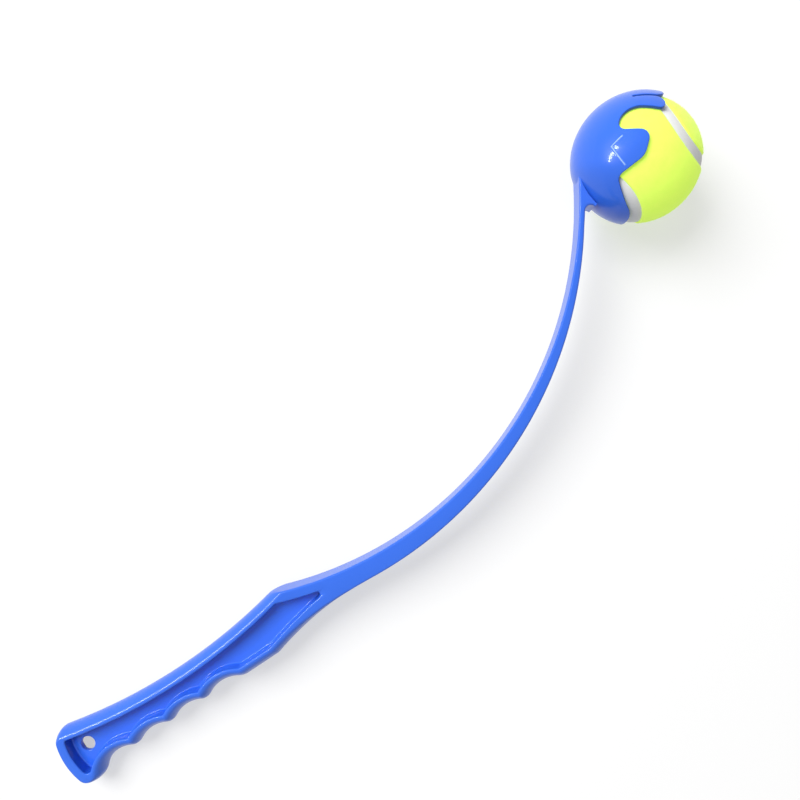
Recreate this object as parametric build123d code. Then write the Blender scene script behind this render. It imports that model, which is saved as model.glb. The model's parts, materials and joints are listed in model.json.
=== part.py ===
"""Dog tennis ball launcher: a one-piece springy launcher holding a felt-covered ball.

The launcher is drawn lying on its side. X runs along the grip from the butt, Y points to the palm side
and Z runs across the handle. At the end the whole thing is turned so that X runs from the butt to the
ball, and tilted so that butt and cup both rest on Z = 0. Lengths are in millimetres, angles in degrees.
"""
from build123d import *
import math
import os

# Ball
ball_diameter = 65.0
felt_thickness = 3.0
core_wall = 3.3
seam_width = 6.4
seam_sink = 0.6
seam_roundness = 0.792
seam_points = 64
ball_turn = (21.7, -6.3, -35.0)

# Launcher body, shared by handle and arm
body_thickness = 17.0

# Grip
grip_width = 19.3
flare = 3.9
butt_flare = 1.9
butt_radius = 42.0
cusp_nose = 0.9
groove_count = 4
groove_pitch = 23.7
groove_radius = 19.9
first_groove = 27.9
heel_radius = 8.9
heel_groove_radius = 16.7
palm_radius = 330.0
palm_low_point = 83.6
palm_corner_radius = 7.6
land_drop = 4.5
land_corner_radius = 10.0
bump_reach = 34.6
bump_radius = 10.0
shoulder_radius = 8.2

# Pockets in both sides of the grip, with a web between them
rim_width = 2.3
butt_wall = 6.9
neck_wall = 5.7
pocket_neck_radius = 300.0
web_thickness = 3.0
pocket_nose = 0.4
pocket_tip_radius = 1.6

# Hanging hole through the web
hang_hole_diameter = 8.0
hang_hole_reach = 15.1
hang_hole_height = 12.2

# Neck and arm
neck_radius = 200.0
neck_length = 94.0
arm_rise = 11.6
arm_radius = 213.0
arm_root_thickness = 9.7
arm_mid_thickness = 6.4
arm_tip_thickness = 3.0
arm_sweep = 61.6
arm_merge = 1.9
stub_length = 8.0
arch_radius = 3.0

# Cup: its fingers end on a plane just past the middle of the ball
cup_clearance = 0.3
cup_wall = 2.0
mouth_angle = -47.0
tip_overlap = 1.4
tip_corner_radius = 3.0
slit_angle = 42.0
slit_width = 1.6
slit_depth = 14.2
slit_corner_radius = 5.5
slit_end_radius = 0.7
side_notch_angle = 70.4
side_notch_width = 13.6
side_notch_depth = 18.9
side_notch_slope_radius = 9.4
side_notch_corner_radius = 4.0
tab_recess = 3.6
tab_corner_radius = 5.0
tab_heel_radius = 8.0
root_notch_angle = 125.0
root_notch_depth = 13.4
root_notch_slope = 36.0
root_notch_radius = 5.0
lower_tip_radius = 15.0
cut_margin = 1.0

# Sizes that follow from those above
half = body_thickness / 2
ball_radius = ball_diameter / 2
core_radius = ball_radius - felt_thickness
cup_inner = ball_radius + cup_clearance
cup_outer = cup_inner + cup_wall
cusp_radius = flare + cusp_nose
barrel_radius = (half**2 + flare**2) / (2 * flare)
pocket_inset = flare + rim_width


def point(x, y):
    """A point of the launcher's middle plane."""
    return Vector(x, y, 0)


def polar(centre, radius, angle):
    """The point at a distance and an angle from a centre."""
    turn = math.radians(angle)
    return centre + radius * point(math.cos(turn), math.sin(turn))


def towards(centre, radius, target):
    """The point of a circle that faces a target."""
    return centre + radius * (target - centre).normalized()


def bearing(centre, target):
    """The angle at which a target is seen from a centre."""
    return math.degrees(math.atan2(target.Y - centre.Y, target.X - centre.X))


def crossing(c1, r1, c2, r2, side):
    """Where two circles cross: side 1 is left of the line from the first centre to the second, -1 right."""
    line = c2 - c1
    along = (r1**2 - r2**2 + line.length**2) / (2 * line.length)
    across = math.sqrt(r1**2 - along**2)
    ahead = line.normalized()
    return c1 + along * ahead + side * across * point(-ahead.Y, ahead.X)


def arc(centre, start, end):
    """An arc of less than half a turn about a centre."""
    radius = (start - centre).length
    return Edge.make_three_point_arc(start, towards(centre, radius, (start + end) * 0.5), end)


def line(start, end):
    """A straight edge."""
    return Edge.make_line(start, end)


# Centres of the circles that the outline is drawn with
butt_middle = point(0, grip_width / 2)
butt_centre = butt_middle + point(butt_radius, 0)
palm_centre = point(palm_low_point, grip_width + palm_radius)
groove_centres = [point(first_groove + i * groove_pitch, -groove_radius) for i in range(groove_count)]
bump_x = groove_centres[-1].X + bump_reach
arm_centre = point(bump_x + neck_length, arm_rise + arm_radius)
cup_bearing = arm_sweep - 90
ball_centre = polar(arm_centre, arm_radius + cup_outer - arm_merge, cup_bearing)

# The arch is the small round hollow between the arm's end and the cup
tip_radius = arm_radius + arm_tip_thickness
arch_centre = crossing(arm_centre, tip_radius + arch_radius, ball_centre, cup_outer + arch_radius, -1)
root_bearing = -90.0
stub_bearing = bearing(arm_centre, arch_centre) - math.degrees(stub_length / arm_radius)

# The arm's lower edge is a circle through its thickness at root, middle and tip
root_low = point(arm_centre.X, arm_rise - arm_root_thickness)
mid_low = polar(arm_centre, arm_radius + arm_mid_thickness, (root_bearing + stub_bearing) / 2)
low_edge = Edge.make_three_point_arc(root_low, mid_low, polar(arm_centre, tip_radius, stub_bearing))
low_centre = low_edge.arc_center
low_radius = low_edge.radius
bump_middle = point(bump_x, bump_radius - land_drop)
neck_centre = crossing(bump_middle, neck_radius + bump_radius, low_centre, neck_radius + low_radius, -1)


def grip_outline(inset, neck_inset, butt, pocket):
    """The handle's outline at one height, drawn inside the middle outline.

    Every hollow stretch is a circle centred outside the handle, and every rounded corner is a circle
    inside it that touches its two neighbours.

    Args:
        inset: how far the grip's edges lie inside the middle outline.
        neck_inset: the same for the edges of the neck.
        butt: how far the butt's end lies inside its middle outline.
        pocket: True closes the outline at the pocket's tip, False at the arm's root.
    """
    def corner(radius):
        return max(radius - inset, pocket_nose)

    groove = groove_radius + inset
    palm = palm_radius + inset
    upper = arm_radius + neck_inset
    land_y = inset - land_drop
    end = butt_radius - butt

    heel = corner(heel_radius)
    heel_groove_centre = point(first_groove, -heel_groove_radius)
    heel_span = heel_groove_radius + inset + heel
    heel_centre = crossing(butt_centre, end - heel, heel_groove_centre, heel_span, -1)
    land = corner(land_corner_radius)
    land_side = math.sqrt((groove + land) ** 2 - (land_y + land + groove_radius) ** 2)
    land_centre = point(groove_centres[-1].X + land_side, land_y + land)
    bump = corner(bump_radius)
    neck = neck_radius + inset
    bump_run = math.sqrt((neck + bump) ** 2 - (land_y + bump - neck_centre.Y) ** 2)
    bump_centre = point(neck_centre.X - bump_run, land_y + bump)
    shoulder = corner(shoulder_radius)
    shoulder_centre = crossing(palm_centre, palm + shoulder, arm_centre, upper + shoulder, -1)
    crown = corner(palm_corner_radius)
    crown_centre = crossing(butt_centre, end - crown, palm_centre, palm + crown, 1)

    heel_start = towards(butt_centre, end, heel_centre)
    edges = [arc(heel_centre, heel_start, towards(heel_centre, heel, heel_groove_centre))]
    edges.append(arc(heel_groove_centre, edges[-1] @ 1, point(first_groove, inset)))
    for here, after in zip(groove_centres, groove_centres[1:]):
        cusp = corner(cusp_radius)
        cusp_centre = crossing(here, groove + cusp, after, groove + cusp, 1)
        edges.append(arc(here, edges[-1] @ 1, towards(cusp_centre, cusp, here)))
        edges.append(arc(cusp_centre, edges[-1] @ 1, towards(cusp_centre, cusp, after)))
    edges.append(arc(groove_centres[-1], edges[-1] @ 1, towards(land_centre, land, groove_centres[-1])))
    edges.append(arc(land_centre, edges[-1] @ 1, point(land_centre.X, land_y)))
    edges.append(line(edges[-1] @ 1, point(bump_centre.X, land_y)))
    edges.append(arc(bump_centre, edges[-1] @ 1, towards(bump_centre, bump, neck_centre)))
    if pocket:
        low = towards(edges[-1] @ 1, pocket_neck_radius, neck_centre)
        tip_reach = pocket_neck_radius + pocket_tip_radius
        tip = crossing(low, tip_reach, arm_centre, upper + pocket_tip_radius, 1)
        edges.append(arc(low, edges[-1] @ 1, towards(tip, pocket_tip_radius, low)))
        edges.append(arc(tip, edges[-1] @ 1, towards(tip, pocket_tip_radius, arm_centre)))
    else:
        edges.append(arc(neck_centre, edges[-1] @ 1, towards(low_centre, low_radius, neck_centre)))
        edges.append(arc(low_centre, edges[-1] @ 1, root_low))
        edges.append(line(edges[-1] @ 1, point(arm_centre.X, arm_rise)))
    edges.append(arc(arm_centre, edges[-1] @ 1, towards(shoulder_centre, shoulder, arm_centre)))
    edges.append(arc(shoulder_centre, edges[-1] @ 1, towards(shoulder_centre, shoulder, palm_centre)))
    edges.append(arc(palm_centre, edges[-1] @ 1, towards(crown_centre, crown, palm_centre)))
    edges.append(arc(crown_centre, edges[-1] @ 1, towards(butt_centre, end, crown_centre)))
    edges.append(arc(butt_centre, edges[-1] @ 1, heel_start))
    return Wire(edges)


def make_handle():
    """Barrel-sided grip with four finger grooves, a pocket in each side and a hanging hole in the web."""
    sections = []
    for share in (-1, -0.75, -0.4, 0, 0.4, 0.75, 1):
        height = share * half
        inset = barrel_radius - math.sqrt(barrel_radius**2 - height**2)
        butt = inset * butt_flare / flare
        sections.append(grip_outline(inset, 0, butt, False).moved(Pos(0, 0, height)))
    handle = Solid.make_loft(sections)
    floor = web_thickness / 2
    pocket = Face(grip_outline(pocket_inset, neck_wall, butt_wall, True))
    for side in (1, -1):
        handle -= extrude(Pos(0, 0, side * floor) * pocket, (half - floor) * side, dir=(0, 0, 1))
    hole = Cylinder(hang_hole_diameter / 2, body_thickness)
    return handle - Pos(hang_hole_reach, hang_hole_height, 0) * hole


def slab(edges):
    """A slab of the body's thickness with the given outline."""
    return extrude(Face(Wire(edges)), half, both=True)


def make_arm():
    """The springy arm, which thins from the neck to the cup."""
    upper = [polar(arm_centre, arm_radius, angle) for angle in (root_bearing, stub_bearing)]
    return slab(
        [
            low_edge,
            line(low_edge @ 1, upper[1]),
            arc(arm_centre, upper[1], upper[0]),
            line(upper[0], low_edge @ 0),
        ]
    )


def cutter(angle, outline, radii):
    """A cut through the cup's wall, drawn flat and pushed out along one bearing about the mouth axis.

    Args:
        angle: the bearing about the mouth axis, from the top finger.
        outline: corner points, sideways and towards the mouth.
        radii: corner radii by the place of the corner in the outline.
    """
    sketch = Polygon(*outline, align=None)
    for place, radius in radii.items():
        at = Vector(*outline[place], 0)
        sketch = fillet(sketch.vertices().sort_by_distance(at)[0], radius)
    turn = math.radians(angle)
    outward = Vector(math.cos(turn), math.sin(turn), 0)
    sideways = Vector(-math.sin(turn), math.cos(turn), 0)
    face = Plane(origin=(0, 0, 0), x_dir=sideways, z_dir=outward) * sketch
    return extrude(face, 2 * cup_outer)


def make_cup_shell():
    """The claw: a round shell cut into a broad top finger, two narrow ones, two tabs and a lower finger."""
    above = tip_overlap + cup_outer
    beside = side_notch_width / 2
    slit = slit_width / 2
    slit_end = slit + slit_corner_radius + cut_margin
    slit_root = min(slit_end_radius, slit)
    slit_cut = cutter(
        slit_angle,
        [
            (-slit_end, above),
            (-slit_end, tip_overlap),
            (-slit, tip_overlap),
            (-slit, -slit_depth),
            (slit, -slit_depth),
            (slit, tip_overlap),
            (slit_end, tip_overlap),
            (slit_end, above),
        ],
        {2: slit_corner_radius, 3: slit_root, 4: slit_root, 5: slit_corner_radius},
    )
    finger_end = beside + tip_corner_radius + cut_margin
    tab_end = beside + tab_corner_radius + cut_margin
    side_cut = cutter(
        side_notch_angle,
        [
            (-finger_end, above),
            (-finger_end, tip_overlap),
            (-beside, tip_overlap),
            (-beside, -side_notch_depth),
            (beside, -side_notch_depth),
            (beside, -tab_recess),
            (tab_end, -tab_recess),
            (tab_end, above),
        ],
        {2: tip_corner_radius, 3: side_notch_slope_radius, 4: side_notch_corner_radius, 5: tab_corner_radius},
    )
    slope = math.tan(math.radians(root_notch_slope))
    tab_side = (root_notch_depth - tab_recess) / slope
    finger_side = (root_notch_depth + tip_overlap) / slope
    tab_reach = cup_outer * math.sin(math.radians(root_notch_angle - side_notch_angle))
    root_cut = cutter(
        root_notch_angle,
        [
            (-tab_reach, above),
            (-tab_reach, -tab_recess),
            (-tab_side, -tab_recess),
            (0, -root_notch_depth),
            (finger_side, tip_overlap),
            (finger_side + lower_tip_radius, tip_overlap),
            (finger_side + lower_tip_radius, above),
        ],
        {2: tab_heel_radius, 3: root_notch_radius, 4: lower_tip_radius},
    )
    shell = Sphere(cup_outer) - Sphere(cup_inner)
    mouth_side = 4 * cup_outer
    shell -= Pos(0, 0, tip_overlap + mouth_side / 2) * Box(mouth_side, mouth_side, mouth_side)
    for cut in (slit_cut, side_cut, root_cut):
        shell -= cut
        shell -= mirror(cut, about=Plane.XZ)
    return shell


mouth_axis = polar(point(0, 0), 1, mouth_angle)
cup_plane = Plane(origin=ball_centre, x_dir=polar(point(0, 0), 1, mouth_angle + 90), z_dir=mouth_axis)


def make_cup():
    """The claw with the end of the arm and the gusset that ties the arm to its back."""
    upper = [polar(arm_centre, arm_radius, angle) for angle in (stub_bearing, cup_bearing)]
    lower = [polar(arm_centre, tip_radius, angle) for angle in (stub_bearing, cup_bearing)]
    root = slab(
        [
            arc(arm_centre, lower[0], lower[1]),
            line(lower[1], upper[1]),
            arc(arm_centre, upper[1], upper[0]),
            line(upper[0], lower[0]),
        ]
    )
    arm_touch = towards(arm_centre, tip_radius, arch_centre)
    cup_touch = towards(ball_centre, cup_outer, arch_centre)
    root += slab([line(arm_touch, cup_touch), line(cup_touch, lower[1]), line(lower[1], arm_touch)])
    root -= Pos(arch_centre) * Cylinder(arch_radius, 2 * body_thickness)
    root -= Pos(ball_centre) * Sphere(cup_inner)
    return cup_plane.location * make_cup_shell() + root


def seam_edge(radius, side):
    """A closed curve beside the ball's seam, at one distance from the ball's centre.

    Args:
        radius: distance from the ball's centre.
        side: distance from the middle of the seam along the ball's surface, left or right.
    """
    swing = 1 - seam_roundness
    rise = 2 * math.sqrt(seam_roundness * swing)

    def middle(turn):
        return Vector(
            seam_roundness * math.cos(turn) + swing * math.cos(3 * turn),
            seam_roundness * math.sin(turn) - swing * math.sin(3 * turn),
            rise * math.sin(2 * turn),
        )

    step = 2 * math.pi / seam_points
    points = []
    for i in range(seam_points):
        here = middle(i * step)
        along = middle((i + 0.01) * step) - middle((i - 0.01) * step)
        across = here.cross(along).normalized()
        lean = side / ball_radius
        points.append(radius * (math.cos(lean) * here + math.sin(lean) * across))
    return Edge.make_spline(points, periodic=True)


def make_ball():
    """The ball's five pieces about its own centre: two core halves, two felt panels and the seam."""
    core = Sphere(core_radius) - Sphere(core_radius - core_wall)
    halves = [split(core, bisect_by=Plane.XY, keep=keep) for keep in (Keep.TOP, Keep.BOTTOM)]
    cover = Sphere(ball_radius) - Sphere(core_radius)
    reach = (core_radius - felt_thickness, ball_radius + felt_thickness)
    pieces = [cover.solid()]
    for side in (-seam_width / 2, seam_width / 2):
        fence = Face.make_surface_from_curves(*[seam_edge(radius, side) for radius in reach])
        pieces = [part for piece in pieces for part in piece.split(fence, keep=Keep.ALL)]
    seam, panel_a, panel_b = sorted(pieces, key=lambda piece: piece.volume)
    seam = seam & Sphere(ball_radius - seam_sink)
    return {
        "core_half_a": halves[0],
        "core_half_b": halves[1],
        "felt_panel_a": panel_a,
        "felt_panel_b": panel_b,
        "ball_seam": seam,
    }


ball_place = Pos(ball_centre) * Rot(*ball_turn)
nodes = {
    "handle": make_handle(),
    "throwing_arm": make_arm(),
    "ball_cup": make_cup(),
}
nodes.update({name: ball_place * piece for name, piece in make_ball().items()})

# Turn X from the grip to the line from the butt to the ball, then lay butt and cup on the ground
heading = Rot(0, 0, -bearing(butt_middle, ball_centre))
lie = 0.0
for _ in range(4):
    pose = Rot(0, -lie, 0) * heading
    drop = (pose * nodes["ball_cup"]).bounding_box().min.Z - (pose * nodes["handle"]).bounding_box().min.Z
    lie -= math.degrees(drop / (ball_centre - butt_middle).length)
pose = Rot(0, -lie, 0) * heading
box = Compound(children=[pose * node for node in nodes.values()]).bounding_box()
place = Pos(-box.center().X, -box.center().Y, -box.min.Z) * pose

os.makedirs("parts", exist_ok=True)
for name, node in nodes.items():
    export_step(place * node, f"parts/{name}.step")

# Places and directions that a record of the part needs, in metres
hole_place = Plane(origin=(hang_hole_reach, hang_hole_height, 0))
for label, spot in (("hanging hole", hole_place), ("ball release", cup_plane)):
    at = place * spot.location
    print(label, [round(v / 1000, 6) for v in at.position], [round(v, 6) for v in Plane(at).z_dir])
print("lie", round(lie, 4), "box", box.size)
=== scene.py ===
"""Dresses the dog tennis ball launcher: a glossy blue moulding with a claw cup, and the felt ball it holds.

Sizes in the classes are millimetres and degrees, drawn in the launcher's middle plane: X runs along the grip
from the butt, Y points to the palm side and Z runs across the handle. Placement carries each finished mesh
from that drawing into the frame, in metres.
"""
import cmath
import json
import logging
import math
import random
from collections.abc import Callable, Iterable, Sequence
from dataclasses import dataclass, field
from enum import Enum

import bmesh
import bpy
import numpy as np
from mathutils import Matrix, Vector, geometry, noise


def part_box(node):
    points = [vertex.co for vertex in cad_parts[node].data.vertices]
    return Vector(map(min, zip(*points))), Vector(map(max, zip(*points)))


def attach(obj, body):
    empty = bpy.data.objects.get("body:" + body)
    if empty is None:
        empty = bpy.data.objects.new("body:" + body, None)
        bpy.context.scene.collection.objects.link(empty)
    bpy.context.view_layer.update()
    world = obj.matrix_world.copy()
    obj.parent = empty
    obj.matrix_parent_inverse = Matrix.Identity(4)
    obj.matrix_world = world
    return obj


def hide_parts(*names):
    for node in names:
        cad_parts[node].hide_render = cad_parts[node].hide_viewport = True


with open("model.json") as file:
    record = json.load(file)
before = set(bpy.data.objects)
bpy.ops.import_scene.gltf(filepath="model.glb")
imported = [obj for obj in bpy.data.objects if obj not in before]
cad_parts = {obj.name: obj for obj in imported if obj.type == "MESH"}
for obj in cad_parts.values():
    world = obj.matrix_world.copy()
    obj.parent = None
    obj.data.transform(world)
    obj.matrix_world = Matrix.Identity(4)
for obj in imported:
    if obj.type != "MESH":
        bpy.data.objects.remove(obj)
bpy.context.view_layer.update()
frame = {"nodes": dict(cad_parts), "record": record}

log = logging.getLogger("launcher")
MM = 0.001
SMOOTH_ANGLE = math.radians(40)
WHITE = (1.0, 1.0, 1.0, 1.0)

Piece = bpy.types.Object
Colour = tuple[float, float, float]
Place = tuple[float, float, float]
Triangle = tuple[int, int, int]


class Side(Enum):
    """Which of two crossings is meant, seen along the line between two centres."""

    LEFT = 1
    RIGHT = -1


class Slot(Enum):
    """The record's material slots."""

    PLASTIC = "blue_plastic"
    CORE = "core_rubber"
    FELT = "felt"
    SEAM = "seam_rubber"


class Body(Enum):
    """The two bodies that pieces ride on."""

    LAUNCHER = "launcher"
    BALL = "ball"


# Plane geometry on complex numbers


def polar(centre: complex, radius: float, angle: float) -> complex:
    """The point at a distance and an angle in degrees from a centre."""
    return centre + cmath.rect(radius, math.radians(angle))


def facing(centre: complex, radius: float, target: complex) -> complex:
    """The point of a circle that faces a target."""
    return centre + radius * (target - centre) / abs(target - centre)


def crossing(first: complex, r1: float, second: complex, r2: float, side: Side) -> complex:
    """Where two circles cross.

    Args:
        first: centre of the first circle.
        r1: its radius.
        second: centre of the second circle.
        r2: its radius.
        side: which crossing, seen from the first centre towards the second.

    Returns:
        The point of that crossing.
    """
    gap = second - first
    along = (r1**2 - r2**2 + abs(gap) ** 2) / (2 * abs(gap))
    across = math.sqrt(r1**2 - along**2)
    return first + complex(along, side.value * across) * gap / abs(gap)


def circle_through(a: complex, b: complex, c: complex) -> tuple[complex, float]:
    """The circle through three points.

    Args:
        a: the first point.
        b: the second.
        c: the third.

    Returns:
        Its centre and its radius.
    """
    ratio = (c - a) / (b - a)
    centre = a + (b - a) * (ratio - abs(ratio) ** 2) / (2j * ratio.imag)
    return centre, abs(centre - a)


def smooth(share: float) -> float:
    """A share from 0 to 1 that leaves and arrives gently."""
    share = min(max(share, 0.0), 1.0)
    return share * share * (3 - 2 * share)


def in_plane(spot: complex, scale: float = MM) -> Vector:
    """A point of the drawing as a vector in its middle plane, in metres unless another scale is given."""
    return Vector((spot.real * scale, spot.imag * scale, 0))


class Pen:
    """Draws a closed outline stretch by stretch, with a set number of points in each."""

    def __init__(self, start: complex) -> None:
        """Puts the pen down at the start."""
        self.at = start
        self.marks: list[complex] = []

    def arc(self, centre: complex, end: complex, steps: int) -> None:
        """Draws the shorter way round a centre.

        Args:
            centre: centre of the arc.
            end: where it ends; a different distance there makes the radius ease over.
            steps: how many points it gets.
        """
        first, last = self.at - centre, end - centre
        turn = cmath.phase(last / first)
        for i in range(steps):
            share = i / steps
            radius = abs(first) + (abs(last) - abs(first)) * smooth(share)
            self.marks.append(centre + cmath.rect(radius, cmath.phase(first) + turn * share))
        self.at = end

    def line(self, end: complex, steps: int) -> None:
        """Draws straight to a point."""
        self.marks += [self.at + (end - self.at) * i / steps for i in range(steps)]
        self.at = end


def rounded(path: Sequence[complex], radii: Sequence[float], steps: int = 14) -> list[complex]:
    """Rounds the inner corners of a path.

    Args:
        path: corner points, with both ends.
        radii: one radius for each inner corner.
        steps: points along each rounded corner.

    Returns:
        The path's points with its corners rounded.
    """
    marks = [path[0]]
    for before, corner, after, radius in zip(path, path[1:], path[2:], radii):
        ahead = (corner - before) / abs(corner - before)
        onward = (after - corner) / abs(after - corner)
        turn = cmath.phase(onward / ahead)
        cut = radius * math.tan(abs(turn) / 2)
        pen = Pen(corner - ahead * cut)
        pen.arc(pen.at + ahead * 1j * math.copysign(radius, turn), corner + onward * cut, steps)
        marks += pen.marks + [pen.at]
    return marks + [path[-1]]


# Ball geometry on arrays of unit directions


def unit(rows: np.ndarray) -> np.ndarray:
    """Each row scaled to length 1."""
    return rows / np.linalg.norm(rows, axis=-1, keepdims=True)


def even_loop(rows: np.ndarray, count: int) -> np.ndarray:
    """A closed loop on the unit ball with its points set evenly along it.

    Args:
        rows: points of the loop, close enough together to follow it.
        count: how many points to set.

    Returns:
        The new points.
    """
    closed = np.vstack([rows, rows[:1]])
    run = np.r_[0, np.cumsum(np.linalg.norm(np.diff(closed, axis=0), axis=1))]
    stops = np.linspace(0, run[-1], count, endpoint=False)
    return unit(np.stack([np.interp(stops, run, closed[:, i]) for i in range(3)], axis=1))


def shifted(loop: np.ndarray, inside: np.ndarray, angle: float | np.ndarray) -> np.ndarray:
    """A loop on the unit ball moved sideways over the ball.

    Args:
        loop: points of the loop, in order.
        inside: a direction on the side that counts as inside.
        angle: how far to move inwards, in radians, for all points or for each.

    Returns:
        The moved loop.
    """
    along = np.roll(loop, -1, axis=0) - np.roll(loop, 1, axis=0)
    inward = unit(np.cross(loop, along))
    if (inward @ inside).sum() < 0:
        inward = -inward
    angle = np.broadcast_to(np.asarray(angle, float), len(loop))[:, None]
    return np.cos(angle) * loop + np.sin(angle) * inward


def angle_to(rows: np.ndarray, line: np.ndarray) -> np.ndarray:
    """How far each direction lies from the nearest one of a line, in radians."""
    return np.arccos(np.clip((rows @ line.T).max(axis=1), -1, 1))


def spread(spacing: float) -> np.ndarray:
    """Directions spread evenly over a ball, along a golden spiral.

    Args:
        spacing: how far apart they lie, in radians.

    Returns:
        The unit directions.
    """
    golden_share = 3 - math.sqrt(5)
    count = int(4 * math.pi / spacing**2)
    place = np.arange(count) + 0.5
    height = 1 - 2 * place / count
    turn = place * math.pi * golden_share
    ring = np.sqrt(1 - height**2)
    return np.stack([ring * np.cos(turn), ring * np.sin(turn), height], axis=1)


@dataclass
class BallSheet:
    """A curved sheet on a ball inside a closed loop, as even triangles.

    ASKEW is any direction that no pole has. Points below FAR_SIDE are too near the pole's opposite to be
    drawn flat. CLOSEST is how near to the rim an inner point may lie, as a share of the spacing, and BATCHES
    keeps the search for that small. INSIDE_ONLY asks for the triangles inside the rim.

    Attributes:
        loop: unit directions of the rim, in order.
        pole: a direction inside the loop whose opposite lies outside it.
        spacing: how far apart the inner points lie, in radians.
        detail: more inner points, for fine forms that the even ones would miss.
    """

    ASKEW = (0.31, 0.57, 0.76)
    FAR_SIDE = -0.98
    CLOSEST = 0.6
    BATCHES = 40
    INSIDE_ONLY = 1
    SAME_SPOT = 1e-9

    loop: np.ndarray
    pole: np.ndarray
    spacing: float
    detail: np.ndarray = field(default_factory=lambda: np.zeros((0, 3)))
    axes: np.ndarray = field(init=False)
    rows: np.ndarray = field(init=False)
    triangles: list[Triangle] = field(init=False)

    def __post_init__(self) -> None:
        """Fills the loop with points and triangles. The rim's points come first, in their order."""
        side = unit(np.cross(self.pole, self.ASKEW))
        self.axes = np.stack([side, np.cross(self.pole, side), self.pole])
        rim = self.flat(self.loop)
        inner = spread(self.spacing)
        inner = inner[inner @ self.pole > self.FAR_SIDE]
        inner = inner[self.enclosed(self.flat(inner), rim)]
        for others in (self.loop, self.detail):
            if len(others):
                parts = np.array_split(inner, self.BATCHES)
                nearest = np.concatenate([(part @ others.T).max(axis=1) for part in parts])
                inner = inner[nearest < math.cos(self.CLOSEST * self.spacing)]
        inner = np.vstack([inner, self.detail])
        count = len(rim)
        edges = [(i, (i + 1) % count) for i in range(count)]
        spots = [Vector(spot) for spot in np.vstack([rim, self.flat(inner)])]
        made = geometry.delaunay_2d_cdt(spots, edges, [], self.INSIDE_ONLY, self.SAME_SPOT)
        _, _, faces, origins, _, _ = made
        self.rows = np.vstack([self.loop, inner])
        source = [origin[0] for origin in origins]
        self.triangles = [tuple(source[i] for i in corners) for corners in faces]

    def flat(self, rows: np.ndarray) -> np.ndarray:
        """The directions drawn on a plane, seen from the point opposite the pole."""
        local = rows @ self.axes.T
        return local[:, :2] / (1 + local[:, 2:])

    @staticmethod
    def enclosed(spots: np.ndarray, rim: np.ndarray) -> np.ndarray:
        """Which flat points lie inside a flat loop.

        Args:
            spots: flat points to test.
            rim: flat points of the loop.

        Returns:
            One truth value for each point.
        """
        found = np.zeros(len(spots), bool)
        for start, end in zip(rim, np.roll(rim, -1, axis=0)):
            spans = (start[1] > spots[:, 1]) != (end[1] > spots[:, 1])
            if spans.any():
                cut = start[0] + (spots[:, 1] - start[1]) * (end[0] - start[0]) / (end[1] - start[1])
                found ^= spans & (spots[:, 0] < cut)
        return found


# Modelling


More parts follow.
